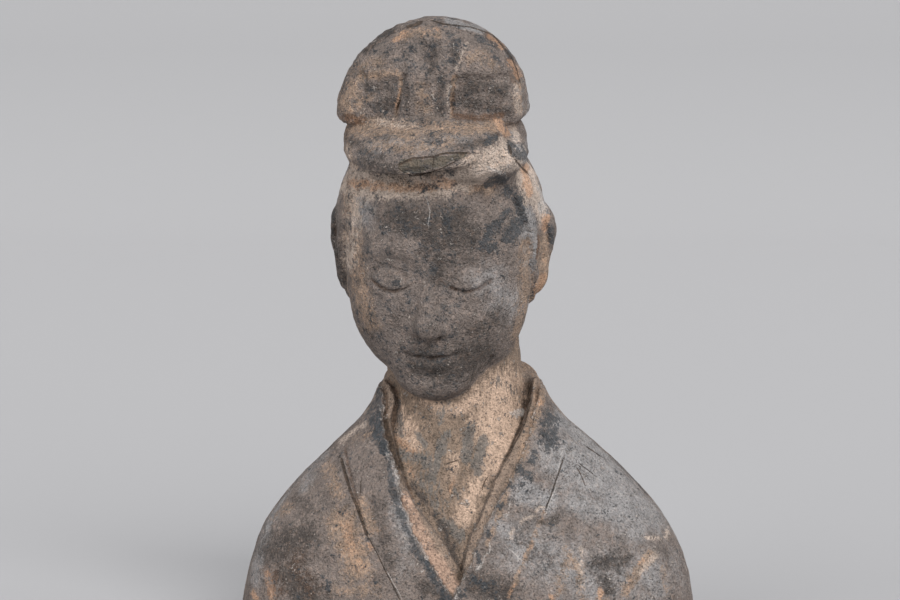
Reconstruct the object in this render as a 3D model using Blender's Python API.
"""Head and shoulders of a pottery tomb figurine of a woman, cut off flat under the shoulders.

The figurine was pressed and hand-finished in grey clay and fired as one piece, so it is one solid:
a robe with a crossed collar, a bare neck, a bowed head, and hair drawn up over a peak into a topknot.
It faces -Y. The origin is the middle of the flat underside.

The form is worked out as one field, the distance of a point outside the clay, and its skin is the mesh.
The head and the robe are free forms, so each is laid out in parts of its own size.
"""

import math

import bmesh
import bpy
import numpy as np
import openvdb
from mathutils import Euler

# Driving sizes, in metres and degrees
SHOULDER_WIDTH = 0.0924
CHEST_DEPTH = 0.0490
COLLAR_HEIGHT = 0.0530  # underside to the top of the collar beside the neck
COLLAR_RISE = 0.0026  # how much higher the collar stands behind the neck
ROBE_THICKNESS = 0.0023
COLLAR_BAND = 0.0021  # width of the pale under-collar that edges the opening, behind the neck
COLLAR_STEP = 0.0009  # how far the under-collar lies below the robe's surface
NECK_DIAMETER = 0.0278  # from side to side
NECK_OVAL = 0.93  # its depth as a share of its width
NECK_ASIDE = -0.0010  # the neck's foot, from the middle of the shoulders
NECK_LEAN = -0.0014  # how much further aside its top is
NECK_BACK = 0.0040
NECK_FILLET = 0.0070  # softness of the hollow where the neck meets the chest
JAW_FILLET = 0.0014  # softness of the crease where the neck meets the head
HEAD_HEIGHT = 0.0540  # chin to the crown of the skull
HEAD_ASIDE = -0.0048  # the middle of the head, from the middle of the shoulders
HEAD_BACK = 0.0000
HEAD_TURN = 7.0  # towards -X, the viewer's left
HEAD_BOW = 12.0
TOPKNOT_WIDTH = 0.0376
TOPKNOT_DEPTH = 0.0230
PEAK_WIDTH = 0.0316
PEAK_REACH = 0.0140  # from the middle of the peak to its rim in front
PEAK_THICKNESS = 0.0056
EDGE_SOFTNESS = 0.0010  # rounding of the robe's cut edges
CREASE = 0.0005  # rounding where one layer of clay lies on another

# A free form's own units: each is a millimetre at this size
HEAD_PART = HEAD_HEIGHT / 54
ROBE_PART = SHOULDER_WIDTH / 92.4
DEPTH_PART = CHEST_DEPTH / 49
RISE_PART = COLLAR_HEIGHT / 53

HEAD_CENTRE = np.array((HEAD_ASIDE, HEAD_BACK, COLLAR_HEIGHT + 0.44 * HEAD_HEIGHT))
TOPKNOT_RISE = 0.56 * HEAD_HEIGHT  # from the middle of the head to the middle of the topknot's round

SAMPLE_STEP = 0.0006  # spacing of the field's samples
BLOCK = 3  # samples along a block, which is skipped where it holds no surface
BATCH = 100000  # samples worked out together
MARGIN = 0.003  # how far the samples run on past the form
TRIANGLES = 9500  # kept in the finished solid
FACE_CARE = 0.000002  # how much dearer it is to merge triangles on the face than elsewhere

# Sections of the robe, from the underside up: height, half width, half depth, set-back and sideways lean
ROBE_SECTIONS = np.array(
    [
        (-6, 46.2, 24.5, 1.0, 0.0),
        (0, 46.2, 24.5, 1.0, 0.0),
        (9, 45.4, 24.0, 1.1, 0.6),
        (18, 43.4, 23.0, 1.4, 0.6),
        (25, 40.1, 21.8, 1.8, 0.3),
        (32, 34.5, 20.2, 2.3, 0.1),
        (40, 26.2, 17.9, 2.9, 0.0),
        (46, 19.9, 16.3, 3.3, -0.4),
        (50, 17.4, 15.4, 3.4, -0.7),
        (58, 16.2, 14.6, 3.0, -0.8),
    ]
)
# Edges of the opening in front: height, sideways place and how many bands wide the under-collar is there
LEFT_EDGE = np.array(
    [
        (-4, 16.0, 2.0),
        (10, 4.6, 2.0),
        (17.5, -0.6, 2.1),
        (23.6, -4.5, 2.0),
        (26.8, -7.1, 1.5),
        (32.2, -10.8, 0.8),
        (37, -12.6, 0.4),
        (44.5, -14.7, 0.6),
        (53, -16.3, 1.0),
        (58, -28.0, 1.0),
    ]
)
RIGHT_EDGE = np.array(
    [
        (-4, -14.5, 0.3),
        (11, -4.8, 0.3),
        (17.5, -0.9, 0.35),
        (23, 0.5, 0.75),
        (28.8, 3.1, 0.85),
        (35.3, 6.0, 1.15),
        (40.9, 9.2, 1.0),
        (45, 11.5, 0.7),
        (50.4, 13.4, 0.55),
        (54, 14.6, 1.0),
        (58, 28.0, 1.0),
    ]
)


def smooth_step(value, start, end):
    """0 up to start, 1 from end on, and an S-curve between."""
    t = np.clip((value - start) / (end - start), 0, 1)
    return t * t * (3 - 2 * t)


def curve_through(knots, values, at):
    """A smooth curve through the values at the knots, read at the points given."""
    slopes = np.gradient(values, knots)
    i = np.clip(np.searchsorted(knots, at) - 1, 0, len(knots) - 2)
    gap = knots[i + 1] - knots[i]
    t = np.clip((at - knots[i]) / gap, 0, 1)
    t2, t3 = t * t, t * t * t
    return (
        (2 * t3 - 3 * t2 + 1) * values[i]
        + (t3 - 2 * t2 + t) * gap * slopes[i]
        + (3 * t2 - 2 * t3) * values[i + 1]
        + (t3 - t2) * gap * slopes[i + 1]
    )


def join(a, b, soft):
    """The two forms as one, with the crease between them filled to a width of soft."""
    share = np.clip(0.5 + 0.5 * (b - a) / soft, 0, 1)
    return b * (1 - share) + a * share - soft * share * (1 - share)


def keep(a, b, soft):
    """What the two forms share, with its edges rounded."""
    return -join(-a, -b, soft)


def cut(a, b, soft):
    """The first form without the second."""
    return keep(a, -b, soft)


def ellipsoid(p, centre, radii):
    scaled = (p - np.array(centre)) / np.array(radii)
    reach = np.sqrt((scaled**2).sum(-1))
    rate = np.sqrt(((scaled / np.array(radii)) ** 2).sum(-1))
    return reach * (reach - 1) / np.maximum(rate, 1e-6)


def rod(p, start, end, start_radius, end_radius):
    """A round bar that tapers from one rounded end to the other."""
    start, along = np.array(start, float), np.array(end, float) - np.array(start, float)
    offset = p - start
    share = np.clip(offset @ along / (along @ along), 0, 1)
    away = np.sqrt(((offset - share[:, None] * along) ** 2).sum(-1))
    return away - (start_radius + (end_radius - start_radius) * share)


def squared_round(a, b, a_half, b_half, power, a_growth=0.0, b_growth=0.0):
    """Distance outside a rounded outline of the given half sizes, which grow at these rates with height."""
    x, y = np.maximum(np.abs(a) / a_half, 1e-4), np.maximum(np.abs(b) / b_half, 1e-4)
    reach = (x**power + y**power) ** (1 / power)
    rate = reach ** (1 - power) * np.sqrt(
        (x ** (power - 1) / a_half) ** 2
        + (y ** (power - 1) / b_half) ** 2
        + (x**power * a_growth / a_half + y**power * b_growth / b_half) ** 2
    )
    return (reach - 1) / np.maximum(rate, 1e-3)


def swell(p, centre, radii, height):
    """How far a soft swelling lifts the surface at each point; a hollow has a negative height."""
    return height * np.exp(-(((p - np.array(centre)) / np.array(radii)) ** 2).sum(-1))


def ridge(away, width, height):
    """How far a rounded line lifts the surface, by the distance from it; a groove has a negative height."""
    return height * np.exp(-((away / width) ** 2))


def turned(p, centre, *degrees):
    """The points in a frame of their own, which lies at the centre and is turned about X, Y and Z."""
    frame = Euler([math.radians(angle) for angle in degrees]).to_matrix()
    return (p - np.array(centre)) @ np.array(frame)


def robe_layers(p):
    """Distances outside the robe's surface and inside the under-collar's and the robe's edges."""
    x, y, z = p[:, 0] / ROBE_PART, p[:, 1] / DEPTH_PART, p[:, 2] / RISE_PART
    knots = ROBE_SECTIONS[:, 0]
    half, depth, back, lean = (curve_through(knots, ROBE_SECTIONS[:, i], z) for i in range(1, 5))
    half_growth = curve_through(knots, ROBE_SECTIONS[:, 1], z + 0.5) - half
    depth_growth = curve_through(knots, ROBE_SECTIONS[:, 2], z + 0.5) - depth
    outer = squared_round(x - lean, y - back, half, depth, 2.3, 2 * half_growth, 2 * depth_growth)
    left, left_bands = (curve_through(LEFT_EDGE[:, 0], LEFT_EDGE[:, i], z) for i in (1, 2))
    right, right_bands = (curve_through(RIGHT_EDGE[:, 0], RIGHT_EDGE[:, i], z) for i in (1, 2))
    past_left, past_right = 0.9 * ROBE_PART * (left - x), 0.9 * ROBE_PART * (x - right)
    under_collar = np.maximum(past_left, past_right)
    past_bands = past_left - COLLAR_BAND * left_bands, past_right - COLLAR_BAND * right_bands
    robe = np.maximum(*past_bands)
    behind = COLLAR_HEIGHT + COLLAR_RISE * smooth_step(y, 2, 14) - p[:, 2]
    backward = smooth_step(y, -4, 6)
    under_collar += (behind - under_collar) * backward
    robe += (behind - COLLAR_BAND - robe) * backward
    # The lapel on the viewer's right lies over the other, down from the foot of the opening
    front = smooth_step(-y, 4, 12)
    overlap = smooth_step(x - right, 0.2, 1.0) * smooth_step(z, 22, 14) * smooth_step(x, 16, 2)
    return outer * ROBE_PART - 0.3 * ROBE_THICKNESS * front * overlap, under_collar, robe


def robe_carving(p):
    """How far the folds and tool cuts lift or sink the robe's surface, in metres."""
    q = p / np.array((ROBE_PART, DEPTH_PART, RISE_PART))
    x, z = q[:, 0], q[:, 2]
    front = smooth_step(-q[:, 1], -2, 8)
    sleeve_cut = x - (-23.8 + 0.233 * (40 - z) + 0.0066 * (40 - z) ** 2)
    lift = ridge(sleeve_cut, 0.55, -0.7) * smooth_step(z, 41, 39)
    short_cut = x - (18.7 - 0.337 * (40 - z))
    lift += ridge(short_cut, 0.5, -0.35) * smooth_step(z, 41, 38) * smooth_step(z, 27, 31)
    # A broad soft fold falls from each shoulder, and the arms stand a little apart from the chest
    for side, foot in ((-1, 24.0), (1, 26.0)):
        crease = side * x - (foot + 0.12 * (z - 4))
        lift += ridge(crease, 4.5, -0.9) * smooth_step(z, 30, 6)
        lift += ridge(crease + 8.5, 3.4, 0.4) * smooth_step(z, 26, 8)
    for n in range(3):
        lift += ridge(x - (40.2 + 1.5 * n - 0.022 * (z - 4) ** 2), 0.5, -0.22) * smooth_step(z, 24, 16)
    lift += swell(q, (-18.5, -6.0, 47.0), (4.0, 8.0, 3.0), 0.6)
    return lift * front * ROBE_PART


def neck_and_chest(p, outer):
    foot = np.array((NECK_ASIDE, NECK_BACK, 0.53 * COLLAR_HEIGHT))
    top = np.array((NECK_ASIDE + NECK_LEAN, NECK_BACK, HEAD_CENTRE[2] - 0.27 * HEAD_HEIGHT))
    oval = np.array((1, NECK_OVAL, 1))
    neck = rod(p / oval, foot / oval, top / oval, 1.08 * NECK_DIAMETER / 2, 0.95 * NECK_DIAMETER / 2)
    chest = keep(outer + ROBE_THICKNESS, p[:, 2] - 0.80 * COLLAR_HEIGHT, NECK_FILLET)
    return join(neck, chest, 1.3 * NECK_FILLET)


def clothed_body(p):
    outer, inside_collar, inside_robe = robe_layers(p)
    skin = neck_and_chest(p, outer)
    under_collar = keep(outer + COLLAR_STEP, -inside_collar, EDGE_SOFTNESS)
    robe = keep(outer - robe_carving(p), -inside_robe, EDGE_SOFTNESS)
    return join(join(skin, under_collar, CREASE), robe, CREASE)


def to_head(p):
    """The points in the head's own frame, in head parts: it faces -Y, and the origin is between the ears."""
    return turned(p, HEAD_CENTRE, HEAD_BOW, 0, -HEAD_TURN) / HEAD_PART


def skull(q):
    crown = ellipsoid(q, (0, 1.5, 8.5), (19.6, 20.3, 20.0))
    face = ellipsoid(q, (0, -4.2, -4.6), (17.9, 15.4, 19.4))
    return join(crown, face, 5)


def hair_cover(q):
    """1 where hair covers the head and 0 on the face and neck."""
    round_the_head = np.degrees(np.arctan2(np.abs(q[:, 0]), -q[:, 1]))
    angles = np.array((0, 50, 60, 68, 75, 82, 100, 130, 180), float)
    heights = np.array((20.5, 19.4, 15.5, 8, 0, -6, -9, -14, -16), float)
    line = curve_through(angles, heights, round_the_head)
    return smooth_step(q[:, 2] - line, -1.2, 1.2)


def drawn_up_hair(q):
    """The full back of the hair, the thick sweep that rises under the topknot, and a lock under the peak."""
    back = cut(ellipsoid(q, (0, 3.6, 8.6), (20.0, 19.6, 20.2)), 4.0 - q[:, 1], 1.0)
    sweep = ellipsoid(q, (-0.7, 1.0, 24.6), (18.2, 14.5, 10.6))
    lock = ellipsoid(q, (8.5, -8.5, 24.0), (10.0, 10.5, 5.0))
    return join(join(back, sweep, 2.5), lock, 4.0)


def ear(q, side):
    e = turned(q * (side, 1, 1), (19.3, 0.6, 3.1), 6, 0, -34)
    shell = join(
        ellipsoid(e, (0, 0.4, 2.6), (2.2, 5.0, 6.6)), ellipsoid(e, (0.1, -1.2, -4.6), (1.9, 3.2, 4.8)), 2.0
    )
    hollow = ellipsoid(e, (2.5, -0.6, 1.6), (1.7, 2.7, 4.6))
    return cut(shell, hollow, 0.9)


def nose(q):
    bridge = rod(q, (0, -16.8, 4.2), (0, -20.6, -6.8), 1.5, 2.1)
    tip = ellipsoid(q, (0, -20.6, -7.4), (2.5, 2.6, 2.2))
    form = join(bridge, tip, 1.6)
    for side in (-1, 1):
        wing = ellipsoid(q, (side * 2.5, -18.5, -7.9), (1.5, 2.2, 1.6))
        form = join(form, wing, 1.0)
    return form


def lips(q):
    bow = 0.35 * np.exp(-((np.abs(q[:, 0]) - 1.5) ** 2)) + 0.035 * q[:, 0] ** 2
    rise = bow[:, None] * (0, 0, 1)
    upper = ellipsoid(q - rise, (0, -17.0, -12.9), (5.3, 2.6, 1.25))
    lower = ellipsoid(q - 0.6 * rise, (0, -16.7, -15.5), (4.3, 2.6, 1.4))
    return upper, lower


def eye_carving(q):
    """How far the lids, brows and sockets lift or sink the face. The eyes are one eye's width apart."""
    x, z = np.abs(q[:, 0]), q[:, 2]
    front = smooth_step(-q[:, 1], 8, 12)
    mirrored = np.stack((x, q[:, 1], z), -1)
    lift = swell(mirrored, (7.2, -17.5, 1.8), (5.6, 7, 4.2), -1.75)
    lift += swell(mirrored, (2.9, -17.5, 1.2), (2.2, 6, 3.2), -0.75)
    lift += swell(mirrored, (7.6, -17.5, 0.9), (4.4, 7, 2.8), 1.75)
    span = np.clip((x - 4.0) / 7.6, 0, 1)
    arch = 4 * span * (1 - span)
    near = smooth_step(x, 3.2, 4.4) * smooth_step(x, 12.6, 11.0)
    lash_line = z - (0.2 + 0.5 * span - 1.3 * arch)
    lift += (ridge(lash_line, 0.45, -0.65) + ridge(lash_line + 1.2, 0.8, 0.2)) * near
    lift += ridge(z - (1.2 + 0.9 * span + 2.0 * arch), 0.45, -0.35) * near
    brow = 5.6 + 1.7 * np.sin(np.clip((x - 0.5) / 13.5, 0, 1) * 2.7)
    lift += ridge(z - brow, 2.0, 0.4) * smooth_step(x, 1.5, 5.5) * smooth_step(x, 15.5, 11.5)
    return lift * front


def face_carving(q):
    """How far the soft forms of the face lift or sink it: a calm, rounded face on the usual thirds."""
    x = np.abs(q[:, 0])
    mirrored = np.stack((x, q[:, 1], q[:, 2]), -1)
    lift = eye_carving(q)
    lift += swell(mirrored, (9.5, -14.5, -6.5), (5.0, 7, 5.0), 0.8)
    lift += swell(mirrored, (6.2, -17.0, -10.5), (2.2, 6, 3.0), -0.45)
    lift += swell(q, (0, -18.0, -18.0), (4.0, 4, 1.1), -0.6)
    lift += swell(q, (0, -19.5, -11.0), (0.8, 4, 1.3), -0.35)
    lift += swell(mirrored, (5.7, -17.0, -14.0), (1.2, 4, 1.2), -0.55)
    mouth_line = q[:, 2] - (-14.15 + 0.3 * np.exp(-((x - 1.5) ** 2)) + 0.03 * x**2)
    lift += ridge(mouth_line, 0.4, -0.5) * smooth_step(x, 6.0, 4.6) * smooth_step(-q[:, 1], 12, 15)
    return lift


def face(q, head):
    """The head with a nose, mouth and chin joined on and the face carved."""
    muzzle = ellipsoid(q, (0, -13.2, -13.2), (8.6, 5.6, 6.6))
    chin = ellipsoid(q, (0, -13.2, -19.9), (6.8, 4.9, 4.2))
    head = join(join(head, muzzle, 3.5), chin, 4.5)
    upper, lower = lips(q)
    head = join(join(head, upper, 0.9), lower, 0.9)
    head = join(head, nose(q), 1.5) - face_carving(q)
    for side in (-1, 1):
        nostril = ellipsoid(q, (side * 1.5, -20.0, -9.5), (0.7, 0.9, 0.7))
        head = cut(head, nostril, 0.5)
    return head


def peak(q):
    """The flat roll of hair that juts over the brow like the peak of a cap, with its rim chipped."""
    e = turned(q, (-1.4, -10.0, 29.3), 21, -4, -8)
    half, reach = PEAK_WIDTH / 2 / HEAD_PART, PEAK_REACH / HEAD_PART
    across = np.hypot(e[:, 0], e[:, 1] * half / reach)
    half_thickness = PEAK_THICKNESS / 2 / HEAD_PART
    form = squared_round(across, e[:, 2] + 0.006 * e[:, 0] ** 2, half, half_thickness, 2.6)
    chip = ellipsoid(e, (2.6, -1.16 * reach, -0.6), (6.8, 2.8, 2.4))
    return cut(form, chip, 0.3)


def topknot_carving(u, v, front):
    """How far the strands' edges lift or sink the front of the topknot, by the place across it and up it."""
    below = smooth_step(v, 9.6, 7.9)
    left_groove = u - (-5.7 + 0.14 * v)
    right_groove = u - (4.2 + 0.12 * v)
    left_panel = smooth_step(left_groove, 0.3, -0.5) * smooth_step(u, -15, -12.5)
    right_panel = smooth_step(right_groove, -0.3, 0.5) * smooth_step(u, 16, 13.5)
    lift = -0.65 * (left_panel + right_panel) * below
    lift += ridge(left_groove, 0.5, -0.6) * smooth_step(v, 10.6, 9.4)
    lift += ridge(right_groove, 0.5, -0.6) * smooth_step(v, 10.0, 8.8)
    slant = u - (5.4 + 0.3 * (v - 9))
    lift += 0.45 * smooth_step(slant, -0.2, 0.5) * smooth_step(v, 8.4, 9.4) * smooth_step(v, 16, 13.5)
    return lift * front


def topknot(q):
    """The hair above the head, a thick upright disc with its foot cut off, leaning a little to +X."""
    radius = TOPKNOT_WIDTH / 2 / HEAD_PART
    half_depth = TOPKNOT_DEPTH / 2 / HEAD_PART
    y, v = q[:, 1] - 0.5, q[:, 2] - TOPKNOT_RISE / HEAD_PART
    u = q[:, 0] + 1.0 - 0.065 * v
    disc = squared_round(np.hypot(u, v), y, radius, half_depth, 2.7)
    disc -= topknot_carving(u, v, smooth_step(-y, 2, 6))
    disc -= ridge(y + 4.0, 0.45, -0.45) * smooth_step(v, 2, 8) * smooth_step(u, -8, -4)
    return keep(disc, -0.9 - v, 1.8)


def head_form(p):
    """The whole head with its hair, in metres."""
    q = to_head(p)
    bare = face(q, skull(q))
    form = join(bare - 1.2 * hair_cover(q), drawn_up_hair(q), 1.0)
    for side in (-1, 1):
        form = join(form, ear(q, side), 0.9)
    form = join(form, peak(q), 2.0)
    form = join(form, topknot(q), 0.7)
    return form * HEAD_PART


def form(p):
    """Distance of each point outside the clay, negative inside it."""
    return join(clothed_body(p), head_form(p), JAW_FILLET)


def settle(points, rounds):
    """The points moved onto the surface itself, along the field's slope."""
    nudge = 0.00005
    longest_move = 0.0004
    for _ in range(rounds):
        here = form(points)
        slope = np.stack([form(points + nudge * axis) - here for axis in np.eye(3)], -1) / nudge
        steepness = np.maximum((slope**2).sum(-1), 0.2)
        move = -here[:, None] * slope / steepness[:, None]
        length = np.sqrt((move**2).sum(-1, keepdims=True))
        points = points + move * np.minimum(1, longest_move / np.maximum(length, 1e-9))
    return points


def sampled_field(low, high, step):
    """The field on a grid from low to high, worked out sample by sample only in blocks near the surface."""
    block = BLOCK * step
    counts = np.ceil((high - low) / block).astype(int)
    corners = np.stack(np.meshgrid(*map(np.arange, counts), indexing="ij"), -1)
    middles = low + corners * block + (block - step) / 2
    values = form(middles.reshape(-1, 3)).reshape(counts)
    near = np.abs(values) < 1.3 * block
    inner = np.stack(np.meshgrid(*[np.arange(BLOCK)] * 3, indexing="ij"), -1).reshape(-1, 3)
    cells = (corners[near][:, None] * BLOCK + inner).reshape(-1, 3)
    for axis in range(3):
        values = np.repeat(values, BLOCK, axis)
    for some in np.array_split(cells, len(cells) // BATCH + 1):
        values[tuple(some.T)] = form(low + some * step)
    return values


def skin_mesh(name, step):
    """A mesh of the field's surface, from samples a step apart. It runs on below the underside."""
    half_width = max(0.5 * SHOULDER_WIDTH, 0.55 * HEAD_HEIGHT) + MARGIN
    half_depth = max(0.55 * CHEST_DEPTH, 0.55 * HEAD_HEIGHT) + MARGIN
    top = HEAD_CENTRE[2] + TOPKNOT_RISE + 0.5 * TOPKNOT_WIDTH + MARGIN
    low = np.array((-half_width, -half_depth, -MARGIN))
    field = sampled_field(low, np.array((half_width, half_depth, top)), step)
    volume = openvdb.FloatGrid(5.0)
    volume.copyFromArray((field / step).astype(np.float32))
    points, _, quads = volume.convertToPolygons(isovalue=0.0, adaptivity=0.0)
    mesh = bpy.data.meshes.new(name)
    mesh.from_pydata(settle(low + points * step, 1), [], quads.tolist())
    return mesh


def corners_of(mesh):
    points = np.empty(len(mesh.vertices) * 3)
    mesh.vertices.foreach_get("co", points)
    return points.reshape(-1, 3)


def mark_plain_places(helper):
    """A vertex group, 1 where the form is plain and down to 0 on the face, which keeps more triangles."""
    q = to_head(corners_of(helper.data))
    from_face = ((q - np.array((0, -19, -4))) / np.array((11, 9, 15))) ** 2
    levels = np.round(10 - 10 * np.exp(-(from_face.sum(-1) ** 2))).astype(int)
    group = helper.vertex_groups.new(name="plain")
    for level in range(11):
        group.add(np.flatnonzero(levels == level).tolist(), level / 10, "REPLACE")
    return group.name


def thinned(mesh, triangles):
    """The mesh with its triangles merged where the surface is plain, down to the number given."""
    helper = bpy.data.objects.new("thinning", mesh)
    bpy.context.scene.collection.objects.link(helper)
    modifier = helper.modifiers.new("Thin", "DECIMATE")
    modifier.ratio = triangles / (2 * len(mesh.polygons))
    modifier.use_collapse_triangulate = True
    modifier.vertex_group = mark_plain_places(helper)
    modifier.vertex_group_factor = FACE_CARE
    graph = bpy.context.evaluated_depsgraph_get()
    made = bpy.data.meshes.new_from_object(helper.evaluated_get(graph))
    bpy.data.objects.remove(helper)
    made.vertices.foreach_set("co", settle(corners_of(made), 3).ravel())
    return made


def cut_flat(mesh):
    """Cuts the mesh off at the underside and closes it with one flat face."""
    work = bmesh.new()
    work.from_mesh(mesh)
    everything = work.verts[:] + work.edges[:] + work.faces[:]
    bmesh.ops.bisect_plane(work, geom=everything, plane_co=(0, 0, 0), plane_no=(0, 0, -1), clear_outer=True)
    rim = [edge for edge in work.edges if edge.is_boundary]
    bmesh.ops.contextual_create(work, geom=rim)
    bmesh.ops.recalc_face_normals(work, faces=work.faces)
    work.to_mesh(mesh)
    work.free()


def fired_clay():
    material = bpy.data.materials.new("fired grey clay")
    material.use_nodes = True
    shader = material.node_tree.nodes["Principled BSDF"]
    shader.inputs["Base Color"].default_value = (0.27, 0.235, 0.205, 1)
    shader.inputs["Roughness"].default_value = 0.85
    shader.inputs["Metallic"].default_value = 0.0
    return material


def main():
    for obj in list(bpy.data.objects):
        bpy.data.objects.remove(obj)
    mesh = thinned(skin_mesh("figurine", SAMPLE_STEP), TRIANGLES)
    cut_flat(mesh)
    mesh.materials.append(fired_clay())
    mesh.shade_smooth()
    mesh.set_sharp_from_angle(angle=math.radians(50))
    collection = bpy.data.collections.new("Pottery figurine")
    bpy.context.scene.collection.children.link(collection)
    collection.objects.link(bpy.data.objects.new("figurine_bust", mesh))


main()
